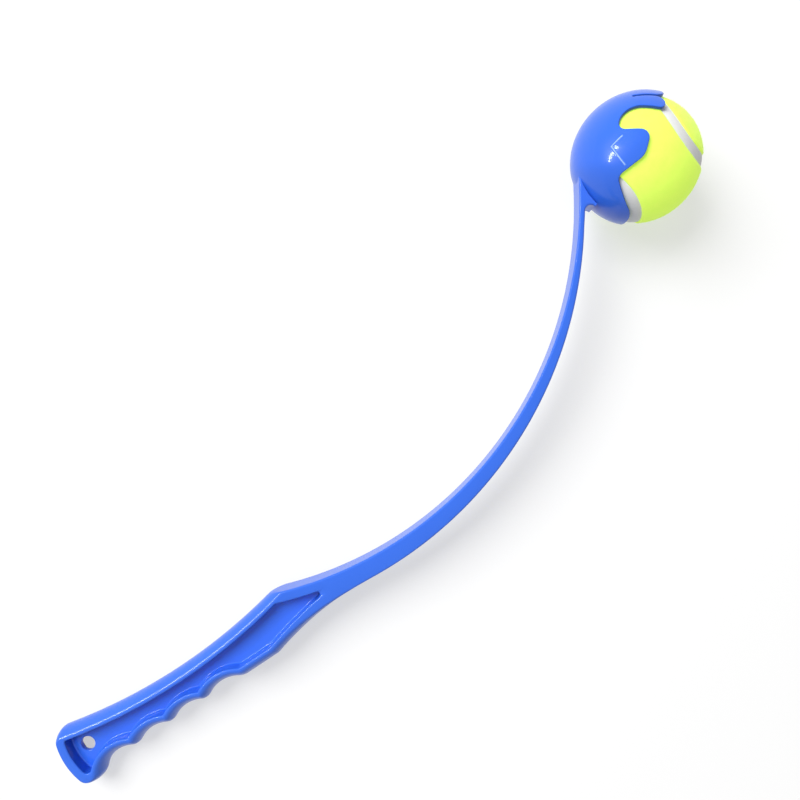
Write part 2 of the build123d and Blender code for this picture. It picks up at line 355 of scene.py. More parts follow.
class Bench:
    """One mesh in hand, shaped ring by ring in edit mode. Points are given in millimetres."""

    SAME_PLACE = 2e-6
    SAME_HEIGHT = 1e-6

    def __init__(self, name: str) -> None:
        """Clears the selection for a new piece.

        Args:
            name: the piece's name.
        """
        self.name = name
        self.rim = np.zeros((0, 3))
        bpy.ops.object.select_all(action="DESELECT")

    @property
    def shape(self) -> bmesh.types.BMesh:
        """The mesh that is open in edit mode."""
        return bmesh.from_edit_mesh(bpy.context.object.data)

    def open(self) -> None:
        """Names the new object and opens it for edge work."""
        bpy.context.object.name = self.name
        bpy.ops.object.mode_set(mode="EDIT")
        bpy.ops.mesh.select_mode(type="EDGE")

    def ring(self, points: np.ndarray) -> None:
        """Adds a circle with as many corners as there are points and shapes it to them.

        Args:
            points: the ring's corners, in order.
        """
        if bpy.context.mode == "OBJECT":
            bpy.ops.mesh.primitive_circle_add(vertices=len(points))
            self.open()
        else:
            bpy.ops.mesh.select_all(action="DESELECT")
            bpy.ops.mesh.primitive_circle_add(vertices=len(points))
        corners = [corner for corner in self.shape.verts if corner.select]
        for corner, place in zip(corners, points, strict=True):
            corner.co = place * MM
        self.rim = points

    def sheet(self, points: np.ndarray, triangles: Sequence[Triangle], rim: int) -> None:
        """Starts from a triangulated sheet and takes hold of its rim.

        Args:
            points: corners of the sheet, the rim's first.
            triangles: the sheet's faces.
            rim: how many corners the rim has.
        """
        mesh = bpy.data.meshes.new(self.name)
        mesh.from_pydata(points * MM, [], triangles)
        piece = bpy.data.objects.new(self.name, mesh)
        bpy.context.collection.objects.link(piece)
        bpy.context.view_layer.objects.active = piece
        piece.select_set(True)
        self.open()
        self.pick(lambda place: True)
        self.rim = points[:rim]

    def pull(self, points: np.ndarray) -> None:
        """Extrudes the ring in hand and shapes the new ring.

        Args:
            points: the new ring's corners, one for each of the ring in hand.
        """
        bpy.ops.mesh.extrude_edges_move()
        for corner in self.shape.verts:
            if corner.select:
                gap = self.rim - np.array(corner.co) / MM
                corner.co = points[np.argmin((gap**2).sum(axis=1))] * MM
        self.rim = points

    def draw_out(self, rings: Sequence[np.ndarray]) -> None:
        """Adds a ring and extrudes it through others in turn.

        Args:
            rings: the rings from first to last, all with as many corners.
        """
        self.ring(rings[0])
        for ring in rings[1:]:
            self.pull(ring)

    def pick(self, test: Callable[[Vector], bool]) -> None:
        """Selects open edges.

        Args:
            test: what both ends of an edge have to pass.
        """
        bpy.ops.mesh.select_all(action="DESELECT")
        for edge in self.shape.edges:
            edge.select_set(edge.is_boundary and all(test(end.co) for end in edge.verts))

    def fill(self, height: float) -> None:
        """Closes the open rings at one height with a flat face."""
        self.pick(lambda place: abs(place.z - height * MM) < self.SAME_HEIGHT)
        bpy.ops.mesh.fill(use_beauty=True)

    def close(self) -> Piece:
        """Merges doubled corners, turns the faces outwards and ends the editing.

        Returns:
            The piece.
        """
        bpy.ops.mesh.select_all(action="SELECT")
        bpy.ops.mesh.remove_doubles(threshold=self.SAME_PLACE)
        bpy.ops.mesh.normals_make_consistent(inside=False)
        bpy.ops.object.mode_set(mode="OBJECT")
        return bpy.context.object

    def mend(self) -> Piece:
        """Opens the piece once more to merge the corners that now meet."""
        bpy.ops.object.mode_set(mode="EDIT")
        return self.close()

    def line(self, sheet: BallSheet, radius: float) -> Piece:
        """Closes a shell with the sheet that its outside was made from, turned inside out.

        Args:
            sheet: that sheet.
            radius: how far from the middle the inside lies.

        Returns:
            The closed shell.
        """
        shell = self.close()
        lining = Bench(f"{self.name}_lining")
        lining.sheet(sheet.rows * radius, [corners[::-1] for corners in sheet.triangles], len(sheet.loop))
        join([shell, lining.close()])
        return self.mend()


def apply_modifier(piece: Piece, kind: str, **settings: object) -> None:
    """Adds a modifier and applies it.

    Args:
        piece: the piece, which has to be the active one.
        kind: the modifier's type.
        settings: its properties.
    """
    modifier = piece.modifiers.new(kind.lower(), kind)
    for name, value in settings.items():
        setattr(modifier, name, value)
    bpy.ops.object.modifier_apply(modifier=modifier.name)


def note(piece: Piece, name: str, values: np.ndarray) -> None:
    """Notes a number on each corner of a piece, for its finish to read."""
    piece.data.attributes.new(name, "FLOAT", "POINT").data.foreach_set("value", values)


def join(pieces: Sequence[Piece]) -> Piece:
    """Joins pieces into one.

    Args:
        pieces: the pieces; the first one keeps its name.

    Returns:
        The first one, with all the others in it.
    """
    bpy.ops.object.select_all(action="DESELECT")
    for piece in pieces:
        piece.select_set(True)
    bpy.context.view_layer.objects.active = pieces[0]
    bpy.ops.object.join()
    return pieces[0]


@dataclass(frozen=True)
class Placement:
    """How the drawing lies in the frame: turned to the line from butt to ball, tilted to lie on the floor."""

    heading: float = 12.4487
    lie: float = 3.313

    @property
    def turn(self) -> Matrix:
        """The turn alone."""
        tilt = Matrix.Rotation(math.radians(-self.lie), 4, "Y")
        return tilt @ Matrix.Rotation(math.radians(-self.heading), 4, "Z")

    def matrix(self, drawn: complex, placed: Sequence[float]) -> Matrix:
        """The move that brings a point, drawn in millimetres, to its place in the frame, in metres."""
        return Matrix.Translation(Vector(placed) - self.turn @ in_plane(drawn)) @ self.turn

    @staticmethod
    def settle(piece: Piece, matrix: Matrix) -> None:
        """Moves a piece and makes the move part of its mesh.

        Args:
            piece: the piece, at the origin.
            matrix: the move.
        """
        bpy.ops.object.select_all(action="DESELECT")
        bpy.context.view_layer.objects.active = piece
        piece.select_set(True)
        piece.matrix_world = matrix
        bpy.ops.object.transform_apply(location=True, rotation=True, scale=True)


# Materials


class Signal:
    """A node's output that can be used in sums."""

    def __init__(self, work: "NodeWork", socket: bpy.types.NodeSocket) -> None:
        """Wraps a socket of a node tree."""
        self.work = work
        self.socket = socket

    def _math(self, operation: str, first: "Signal | float", second: "Signal | float") -> "Signal":
        """Adds a Math node on two values."""
        return self.work.node("ShaderNodeMath", {"operation": operation}, {0: first, 1: second})

    def __add__(self, other: "Signal | float") -> "Signal":
        """self + other"""
        return self._math("ADD", self, other)

    def __mul__(self, other: "Signal | float") -> "Signal":
        """self * other"""
        return self._math("MULTIPLY", self, other)

    def most(self, other: "Signal | float") -> "Signal":
        """The larger of the two."""
        return self._math("MAXIMUM", self, other)

    __radd__ = __add__
    __rmul__ = __mul__


class NodeWork:
    """A node tree in the making."""

    def __init__(self, tree: bpy.types.NodeTree) -> None:
        """Takes up a tree."""
        self.tree = tree

    def node(
        self,
        kind: str,
        settings: dict[str, object] | None = None,
        inputs: dict[str | int, object] | None = None,
        output: str | int = 0,
    ) -> Signal:
        """Adds a node.

        Args:
            kind: the node's type.
            settings: its properties, or "stops" for a ramp's places and colours.
            inputs: values or signals by socket.
            output: the socket that is wanted.

        Returns:
            That output as a signal.
        """
        made = self.tree.nodes.new(kind)
        for name, value in (settings or {}).items():
            if name == "stops":
                for stop, (place, colour) in zip(made.color_ramp.elements, value):
                    stop.position = place
                    stop.color = (*colour, 1)
            else:
                setattr(made, name, value)
        for name, value in (inputs or {}).items():
            self.plug(made.inputs[name], value)
        return Signal(self, made.outputs[output])

    def plug(self, socket: bpy.types.NodeSocket, value: object) -> None:
        """Links a signal to a socket or sets its value.

        Args:
            socket: an input of one of the tree's nodes.
            value: a signal or a plain value.
        """
        if isinstance(value, Signal):
            self.tree.links.new(value.socket, socket)
        else:
            socket.default_value = value


class Paint(NodeWork):
    """A material in the making."""

    def __init__(self, name: str) -> None:
        """Starts a material with its plain shader.

        Args:
            name: the material's name.
        """
        self.material = bpy.data.materials.new(name)
        self.material.use_nodes = True
        super().__init__(self.material.node_tree)
        self.shader = self.tree.nodes["Principled BSDF"]
        self.output = self.tree.nodes["Material Output"]

    def set(self, **inputs: object) -> None:
        """Sets the shader's inputs; an underscore stands for a space in a socket's name."""
        for name, value in inputs.items():
            self.plug(self.shader.inputs[name.replace("_", " ")], value)

    def place(self) -> Signal:
        """The place on the object, in metres."""
        return self.node("ShaderNodeTexCoord", output="Object")

    def grain(self, scale: float, detail: float = 2.0, rough: float = 0.5) -> Signal:
        """Noise from 0 to 1, with a scale in waves per metre."""
        inputs = {"Vector": self.place(), "Scale": scale, "Detail": detail, "Roughness": rough}
        return self.node("ShaderNodeTexNoise", {}, inputs, "Fac")

    def blend(self, share: Signal, low: Sequence[float], high: Sequence[float]) -> Signal:
        """A colour between two colours."""
        settings = {"stops": [(0.0, low), (1.0, high)]}
        return self.node("ShaderNodeValToRGB", settings, {"Fac": share}, "Color")

    def mix(self, share: Signal, first: Signal, second: Signal | Sequence[float]) -> Signal:
        """A colour that goes from the first to the second as the share goes from 0 to 1."""
        return self.node("ShaderNodeMix", {"data_type": "RGBA"}, {0: share, 6: first, 7: second}, 2)

    def relief(self, height: Signal, depth: float, strength: float) -> Signal:
        """A normal bumped by a height from 0 to 1, where 1 is a depth in metres."""
        inputs = {"Height": height, "Distance": depth, "Strength": strength}
        return self.node("ShaderNodeBump", {}, inputs, "Normal")


@dataclass(frozen=True)
class MouldedPlastic:
    """Glossy moulded plastic, coloured through, with the faint unevenness of a mould's polish. It is darkened
    into painted shade where a piece notes it, and made paler along the tabs' raised lines, which is a painted
    highlight together with scuffing.
    """

    name: str = "moulded_blue_plastic"
    shade: Colour = (0.024, 0.130, 0.72)
    tint: Colour = (0.032, 0.156, 0.79)
    # pale colour of the raised lines' crest: painted highlight together with scuffing
    scuff_highlight_colour: Colour = (0.42, 0.62, 0.95)
    # dark colour of the painted shade
    painted_shade: Colour = (0.003, 0.045, 0.36)
    flow_waves: float = 38.0
    polish_waves: float = 420.0
    peel_waves: float = 1500.0
    peel_share: float = 0.5
    scuff_highlight_level: float = 0.5
    scuff_highlight_spots: float = 0.9
    roughness: float = 0.3
    haze: float = 0.08
    relief: float = 0.00004
    relief_shown: float = 0.25
    ior: float = 1.49
    shine: float = 0.25
    coat: float = 0.4
    coat_roughness: float = 0.08

    def make(self) -> bpy.types.Material:
        """Makes the finish.

        Returns:
            Its material.
        """
        paint = Paint(self.name)
        flow = paint.grain(self.flow_waves, detail=3.0)
        polish = paint.grain(self.polish_waves, detail=3.0, rough=0.6)
        peel = paint.grain(self.peel_waves)
        # shares noted by the pieces: a paler crest for painted highlight and scuffing, and painted shade
        scuff_and_highlight, painted_shade_share = (
            paint.node("ShaderNodeAttribute", {"attribute_name": name}, {}, "Fac")
            for name in ("scuff_and_highlight", "painted_shade_share")
        )
        # painted shade: the colour darkens where a piece notes it
        colour = paint.mix(painted_shade_share, paint.blend(flow, self.shade, self.tint), (*self.painted_shade, 1))
        # painted highlight and scuffing: the raised lines' crest turns paler
        scuff_highlight_share = scuff_and_highlight * (self.scuff_highlight_level + self.scuff_highlight_spots * polish)
        uneven = polish * (1 - self.peel_share) + peel * self.peel_share
        paint.set(
            Base_Color=paint.mix(scuff_highlight_share, colour, (*self.scuff_highlight_colour, 1)),
            Roughness=self.roughness + self.haze * polish,
            Normal=paint.relief(uneven, self.relief, self.relief_shown),
            IOR=self.ior,
            Specular_IOR_Level=self.shine,
            Coat_Weight=self.coat,
            Coat_Roughness=self.coat_roughness,
        )
        return paint.material


@dataclass(frozen=True)
class Felt:
    """Bright napped felt: matted tufts, lighter fibre tips, a soft sheen and a painted glow that brightens
    the side away from the lamps.
    """

    name: str = "yellow_felt"
    root: Colour = (0.58, 0.70, 0.08)
    tip: Colour = (0.75, 0.79, 0.16)
    # painted glow: light the felt gives off itself, brightening the side away from the lamps
    glow: Colour = (0.29, 0.50, 0.04)
    tuft_waves: float = 260.0
    tuft_share: float = 0.55
    fibre_waves: float = 1700.0
    roughness: float = 0.95
    nap: float = 0.0005
    nap_shown: float = 0.5
    sheen: float = 0.35
    sheen_roughness: float = 0.5
    sheen_tint: Colour = (0.95, 1.0, 0.6)

    def make(self) -> bpy.types.Material:
        """Makes the finish.

        Returns:
            Its material.
        """
        paint = Paint(self.name)
        tufts = paint.grain(self.tuft_waves, detail=4.0, rough=0.65)
        fibres = paint.grain(self.fibre_waves, detail=3.0, rough=0.7)
        matted = tufts * self.tuft_share + fibres * (1 - self.tuft_share)
        paint.set(
            Base_Color=paint.blend(matted, self.root, self.tip),
            Roughness=self.roughness,
            Normal=paint.relief(matted, self.nap, self.nap_shown),
            Sheen_Weight=self.sheen,
            Sheen_Roughness=self.sheen_roughness,
            Sheen_Tint=(*self.sheen_tint, 1),
            # painted glow
            Emission_Color=(*self.glow, 1),
            Emission_Strength=1.0,
        )
        return paint.material


@dataclass(frozen=True)
class Rubber:
    """Matt rubber with a fine cast grain and a dusty bloom."""

    name: str
    dark: Colour
    pale: Colour
    cast_waves: float = 900.0
    bloom_waves: float = 150.0
    bloom_share: float = 0.6
    roughness: float = 0.6
    haze: float = 0.25
    relief: float = 0.0002
    relief_shown: float = 0.5

    def make(self) -> bpy.types.Material:
        """Makes the finish.

        Returns:
            Its material.
        """
        paint = Paint(self.name)
        bloom = paint.grain(self.bloom_waves, detail=4.0, rough=0.6)
        cast = paint.grain(self.cast_waves, detail=3.0, rough=0.6)
        dusty = bloom * self.bloom_share + cast * (1 - self.bloom_share)
        paint.set(
            Base_Color=paint.blend(dusty, self.dark, self.pale),
            Roughness=self.roughness + self.haze * cast,
            Normal=paint.relief(cast, self.relief, self.relief_shown),
        )
        return paint.material


@dataclass
class Finishes:
    """The finishes of the whole object, by the record's slots."""

    made: dict[Slot, bpy.types.Material] = field(default_factory=dict)

    def __post_init__(self) -> None:
        """Makes each finish once."""
        self.made[Slot.PLASTIC] = MouldedPlastic().make()
        self.made[Slot.FELT] = Felt().make()
        self.made[Slot.SEAM] = Rubber("seam_rubber", dark=(0.76, 0.77, 0.77), pale=(0.92, 0.93, 0.92)).make()
        self.made[Slot.CORE] = Rubber(
            "core_rubber", dark=(0.035, 0.035, 0.035), pale=(0.06, 0.06, 0.06), cast_waves=500.0
        ).make()

    def dress(self, piece: Piece, slot: Slot) -> None:
        """Gives a piece one finish."""
        piece.data.materials.clear()
        piece.data.materials.append(self.made[slot])

    def register(self, piece: Piece, slot: Slot, body: Body, nodes: Iterable[str] = ()) -> None:
        """Dresses a new piece and ties it to the frame.

        Args:
            piece: the finished piece.
            slot: its finish.
            body: the body it rides on.
            nodes: the solids that it stands for.
        """
        self.dress(piece, slot)
        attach(piece, body.value)
        if nodes:
            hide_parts(*nodes)
        log.info("%s: %d faces, on %s", piece.name, len(piece.data.polygons), body.value)


# The launcher


@dataclass
class LauncherPlan:
    """The launcher's drawing: every hollow is a circle outside it, every corner a circle inside it."""

    half: float = 8.5
    grip_width: float = 19.3
    flare: float = 3.9
    butt_flare: float = 1.9
    butt_radius: float = 42.0
    cusp_radius: float = 4.8
    nose: float = 0.4
    groove_count: int = 4
    groove_pitch: float = 23.7
    groove_radius: float = 19.9
    first_groove: float = 27.9
    heel_radius: float = 8.9
    heel_groove_radius: float = 16.7
    palm_radius: float = 330.0
    palm_low_point: float = 83.6
    palm_corner_radius: float = 7.6
    land_drop: float = 4.5
    land_corner_radius: float = 10.0
    bump_reach: float = 34.6
    bump_radius: float = 10.0
    shoulder_radius: float = 8.2
    rim_width: float = 2.3
    butt_wall: float = 6.9
    neck_wall: float = 5.7
    pocket_neck_radius: float = 300.0
    web: float = 3.0
    pocket_tip_radius: float = 1.6
    hole: complex = 15.1 + 12.2j
    hole_radius: float = 4.0
    neck_radius: float = 200.0
    neck_length: float = 94.0
    arm_rise: float = 11.6
    arm_radius: float = 213.0
    arm_root_thickness: float = 9.7
    arm_mid_thickness: float = 6.4
    arm_tip_thickness: float = 3.0
    arm_sweep: float = 61.6
    arm_merge: float = 1.9
    stub_length: float = 8.0
    arch_radius: float = 3.0
    cup_inner: float = 32.8
    cup_wall: float = 2.0
    mouth_angle: float = -47.0

    def __post_init__(self) -> None:
        """Works out the centres that the outline is drawn about."""
        self.cup_outer = self.cup_inner + self.cup_wall
        self.butt_centre = complex(self.butt_radius, self.grip_width / 2)
        self.palm_centre = complex(self.palm_low_point, self.grip_width + self.palm_radius)
        self.groove_centres = [
            complex(self.first_groove + i * self.groove_pitch, -self.groove_radius)
            for i in range(self.groove_count)
        ]
        bump = complex(self.groove_centres[-1].real + self.bump_reach, self.bump_radius - self.land_drop)
        self.arm_centre = complex(bump.real + self.neck_length, self.arm_rise + self.arm_radius)
        reach = self.arm_radius + self.cup_outer - self.arm_merge
        self.ball_centre = polar(self.arm_centre, reach, self.arm_sweep - 90)
        self.tip_radius = self.arm_radius + self.arm_tip_thickness
        self.arch_centre = crossing(
            self.arm_centre,
            self.tip_radius + self.arch_radius,
            self.ball_centre,
            self.cup_outer + self.arch_radius,
            Side.RIGHT,
        )
        arch_bearing = math.degrees(cmath.phase(self.arch_centre - self.arm_centre))
        stub_bearing = arch_bearing - math.degrees(self.stub_length / self.arm_radius)
        root_low = self.arm_centre - 1j * (self.arm_radius + self.arm_root_thickness)
        middle = polar(self.arm_centre, self.arm_radius + self.arm_mid_thickness, (stub_bearing - 90) / 2)
        self.stub = polar(self.arm_centre, self.tip_radius, stub_bearing)
        self.low_centre, self.low_radius = circle_through(root_low, middle, self.stub)
        self.neck_centre = crossing(
            bump,
            self.neck_radius + self.bump_radius,
            self.low_centre,
            self.neck_radius + self.low_radius,
            Side.RIGHT,
        )
        self.mouth_axis = polar(0, 1, self.mouth_angle)
        inset = self.flare + self.rim_width
        corner = self.bump_corner(inset, self.neck_centre, self.neck_radius + inset)
        touch = facing(corner, self.corner(self.bump_radius, inset), self.neck_centre)
        self.pocket_neck = facing(touch, self.pocket_neck_radius, self.neck_centre)

    def corner(self, radius: float, inset: float) -> float:
        """What an inset leaves of a rounded corner's radius, at least the nose's."""
        return max(radius - inset, self.nose)

    def barrel(self, height: float) -> float:
        """How far the grip's rounded side has drawn in at a height above the middle plane."""
        radius = (self.half**2 + self.flare**2) / (2 * self.flare)
        return radius - math.sqrt(radius**2 - height**2)

    def bump_corner(self, inset: float, neck: complex, reach: float) -> complex:
        """The centre of the bump's rounded corner.

        Args:
            inset: how far inside the middle outline.
            neck: centre of the neck's hollow.
            reach: its radius.

        Returns:
            The centre, as far along the land as the neck allows.
        """
        bump = self.corner(self.bump_radius, inset)
        height = inset - self.land_drop + bump
        return complex(neck.real - math.sqrt((reach + bump) ** 2 - (height - neck.imag) ** 2), height)

    def lower_edge(self, inset: float, butt: float, neck: complex, reach: float) -> Pen:
        """Draws the fingers' side from the heel to the bump.

        Args:
            inset: how far inside the middle outline.
            butt: how far the butt's end lies inside its middle outline.
            neck: centre of the neck's hollow.
            reach: its radius.

        Returns:
            The pen, stopped where the neck begins.
        """
        groove = self.groove_radius + inset
        land_y = inset - self.land_drop
        heel = self.corner(self.heel_radius, inset)
        heel_groove = complex(self.first_groove, -self.heel_groove_radius)
        span = self.heel_groove_radius + inset + heel
        end = self.butt_radius - butt
        heel_centre = crossing(self.butt_centre, end - heel, heel_groove, span, Side.RIGHT)
        pen = Pen(facing(self.butt_centre, end, heel_centre))
        pen.arc(heel_centre, facing(heel_centre, heel, heel_groove), steps=14)
        pen.arc(heel_groove, complex(self.first_groove, inset), steps=16)
        cusp = self.corner(self.cusp_radius, inset)
        for here, after in zip(self.groove_centres, self.groove_centres[1:]):
            centre = crossing(here, groove + cusp, after, groove + cusp, Side.LEFT)
            pen.arc(here, facing(centre, cusp, here), steps=12)
            pen.arc(centre, facing(centre, cusp, after), steps=12)
        land = self.corner(self.land_corner_radius, inset)
        last = self.groove_centres[-1]
        side = math.sqrt((groove + land) ** 2 - (land_y + land + self.groove_radius) ** 2)
        land_centre = complex(last.real + side, land_y + land)
        pen.arc(last, facing(land_centre, land, last), steps=14)
        pen.arc(land_centre, complex(land_centre.real, land_y), steps=10)
        bump_centre = self.bump_corner(inset, neck, reach)
        pen.line(complex(bump_centre.real, land_y), steps=10)
        pen.arc(bump_centre, facing(bump_centre, self.corner(self.bump_radius, inset), neck), steps=12)
        return pen

    def upper_edge(self, pen: Pen, inset: float, butt: float, arm_inset: float, steps: int) -> list[complex]:
        """Draws the palm's side back to the heel and closes the outline.

        Args:
            pen: the pen, stopped on the arm's upper edge.
            inset: how far inside the middle outline.
            butt: how far the butt's end lies inside its middle outline.
            arm_inset: the same as inset, for the arm's upper edge.
            steps: points along that edge.

        Returns:
            The points of the whole outline.
        """
        start = pen.marks[0]
        palm = self.palm_radius + inset
        shoulder = self.corner(self.shoulder_radius, inset)
        reach = self.arm_radius + arm_inset + shoulder
        centre = crossing(self.palm_centre, palm + shoulder, self.arm_centre, reach, Side.RIGHT)
        pen.arc(self.arm_centre, facing(centre, shoulder, self.arm_centre), steps)
        pen.arc(centre, facing(centre, shoulder, self.palm_centre), steps=12)
        crown = self.corner(self.palm_corner_radius, inset)
        end = self.butt_radius - butt
        crown_centre = crossing(self.butt_centre, end - crown, self.palm_centre, palm + crown, Side.LEFT)
        pen.arc(self.palm_centre, facing(crown_centre, crown, self.palm_centre), steps=70)
        pen.arc(crown_centre, facing(self.butt_centre, end, crown_centre), steps=16)
        pen.arc(self.butt_centre, start, steps=12)
        return pen.marks

    def outline(self, grip: float, arm: float, bed: float) -> list[complex]:
        """The outline of grip, arm and gusset at one height.

        Args:
            grip: how far the grip lies inside the middle outline.
            arm: the same for neck, arm and gusset.
            bed: distance from the ball's centre at which the arm ends, inside the cup's wall.

        Returns:
            The outline's points.
        """
        butt = grip * self.butt_flare / self.flare
        pen = self.lower_edge(grip, butt, self.neck_centre, self.neck_radius + grip)
        pen.arc(self.neck_centre, facing(self.low_centre, self.low_radius - arm, self.neck_centre), steps=52)
        pen.arc(self.low_centre, facing(self.arm_centre, self.tip_radius - arm, self.stub), steps=120)
        arch = self.arch_radius + arm
        pen.arc(self.arm_centre, facing(self.arch_centre, arch, self.arm_centre), steps=8)
        pen.arc(self.arch_centre, facing(self.arch_centre, arch, self.ball_centre), steps=18)
        pen.line(facing(self.ball_centre, bed, self.arch_centre), steps=2)
        meeting = crossing(self.arm_centre, self.arm_radius + arm, self.ball_centre, bed, Side.RIGHT)
        pen.arc(self.ball_centre, meeting, steps=8)
        return self.upper_edge(pen, grip, butt, arm, steps=130)

    def pocket(self, inset: float) -> list[complex]:
        """The outline of the pocket in the grip's side.

        Args:
            inset: how far it is drawn in from the pocket's rim.

        Returns:
            The outline's points.
        """
        grip = self.flare + self.rim_width + inset
        neck = self.neck_wall + inset
        butt = self.butt_wall + inset
        low = self.pocket_neck_radius + inset
        pen = self.lower_edge(grip, butt, self.pocket_neck, low)
        tip = self.pocket_tip_radius
        reach = self.arm_radius + neck + tip
        centre = crossing(self.pocket_neck, low + tip, self.arm_centre, reach, Side.LEFT)
        pen.arc(self.pocket_neck, facing(centre, tip, self.pocket_neck), steps=40)
        pen.arc(centre, facing(centre, tip, self.arm_centre), steps=12)
        return self.upper_edge(pen, grip, butt, neck, steps=40)


@dataclass
class LauncherBody:
    """Grip, arm and gusset in one moulding, with rounded edges and a pocket in each side."""

    plan: LauncherPlan
    placement: Placement
    edge: float = 1.2
    rim_land: float = 1.0
    pocket_edge: float = 1.0
    draft: float = 0.3
    fillet: float = 1.0
    hole_edge: float = 0.5
    bed: float = 33.25
    # painted shade on the pocket's end walls: its strength, and the band it covers
    painted_wall_shade: float = 0.6
    wall_reach: float = 3.5
    wall_width: float = 0.6
    wall_top: float = 0.6
    wall_foot: float = 0.3
    barrel_steps: int = 9
    edge_steps: int = 5
    hole_points: int = 48
    mirror_gap: float = 1e-5

    def at(self, outline: Sequence[complex], height: float) -> np.ndarray:
        """An outline's points at a height above the middle plane."""
        return np.array([(mark.real, mark.imag, height) for mark in outline])

    def outer_rings(self) -> list[np.ndarray]:
        """Draws the outer side, up the barrel and over the rounded edge.

        Returns:
            Its rings from the middle plane to the flat side.
        """
        plan = self.plan
        shoulder = plan.half - self.edge
        rings = []
        for i in range(self.barrel_steps):
            height = shoulder * i / (self.barrel_steps - 1)
            rings.append(self.at(plan.outline(plan.barrel(height), 0, self.bed), height))
        start = plan.barrel(shoulder)
        corner = plan.barrel(plan.half)
        for i in range(1, self.edge_steps + 1):
            share = i / self.edge_steps
            left = 1 - share
            grip = left**2 * start + 2 * share * left * corner + share**2 * (corner + self.rim_land)
            height = plan.half - self.edge * left**2
            rings.append(self.at(plan.outline(grip, self.edge * share**2, self.bed), height))
        return rings

    def pocket_rings(self) -> list[np.ndarray]:
        """Draws the pocket's wall.

        Returns:
            Its rings from the rim down to the floor.
        """
        plan = self.plan
        floor = plan.web / 2
        steps = [(-self.pocket_edge, plan.half)]
        for i in range(1, self.edge_steps + 1):
            share = i / self.edge_steps
            steps.append((-self.pocket_edge * (1 - share) ** 2, plan.half - self.pocket_edge * share**2))
        for i in range(self.edge_steps + 2):
            turn = math.pi / 2 * i / (self.edge_steps + 1)
            inset = self.draft + self.fillet * (1 - math.cos(turn))
            steps.append((inset, floor + self.fillet * (1 - math.sin(turn))))
        return [self.at(plan.pocket(inset), height) for inset, height in steps]

    def hole_rings(self) -> list[np.ndarray]:
        """Draws the hanging hole.

        Returns:
            Its rings from the web's face to the middle plane.
        """
        floor = self.plan.web / 2
        bearings = [360 * k / self.hole_points for k in range(self.hole_points)]
        rings = []
        for i in range(self.edge_steps + 1):
            turn = math.pi / 2 * i / self.edge_steps
            radius = self.plan.hole_radius + self.hole_edge * (1 - math.sin(turn))
            height = floor - self.hole_edge * (1 - math.cos(turn))
            circle = [polar(self.plan.hole, radius, bearing) for bearing in bearings]
            rings.append(self.at(circle, height))
        rings.append(self.at(circle, 0))
        return rings

    def build(self, move: Matrix) -> Piece:
        """Models one half above the middle plane, mirrors it and settles it in the frame.

        Args:
            move: the move from the drawing to the frame.

        Returns:
            The finished piece.
        """
        bench = Bench("launcher_body")
        for rings in (self.outer_rings(), self.pocket_rings(), self.hole_rings()):
            bench.draw_out(rings)
        bench.fill(self.plan.half)
        bench.fill(self.plan.web / 2)
        half = bench.close()
        apply_modifier(half, "MIRROR", use_axis=(False, False, True), merge_threshold=self.mirror_gap)
        piece = bench.mend()
        bpy.ops.object.shade_smooth_by_angle(angle=SMOOTH_ANGLE)
        self.mark_painted_shade(piece)
        self.placement.settle(piece, move)
        return piece

    def mark_painted_shade(self, piece: Piece) -> None:
        """Paints shade on the pocket's end walls, between their rounded top and their fillet.

        Args:
            piece: the moulding, still as drawn.
        """
        plan = self.plan
        spots = np.array([corner.co for corner in piece.data.vertices]) / MM
        wall = self.at(plan.pocket(self.draft), 0)
        start, end = wall[:, 0].min() + self.wall_reach, wall[:, 0].max() - self.wall_reach
        ends = wall[(wall[:, 0] < start) | (wall[:, 0] > end)]
        apart = np.linalg.norm(spots[:, None, :2] - ends[None, :, :2], axis=2).min(axis=1)
        height = np.abs(spots[:, 2])
        top = plan.half - self.pocket_edge * self.wall_top
        foot = plan.web / 2 + self.fillet * self.wall_foot
        # painted shade on the end walls' corners between the rounded top and the fillet
        painted_shade = (height < top) & (height > foot) & (apart < self.wall_width)
        note(piece, "painted_shade_share", self.painted_wall_shade * painted_shade)


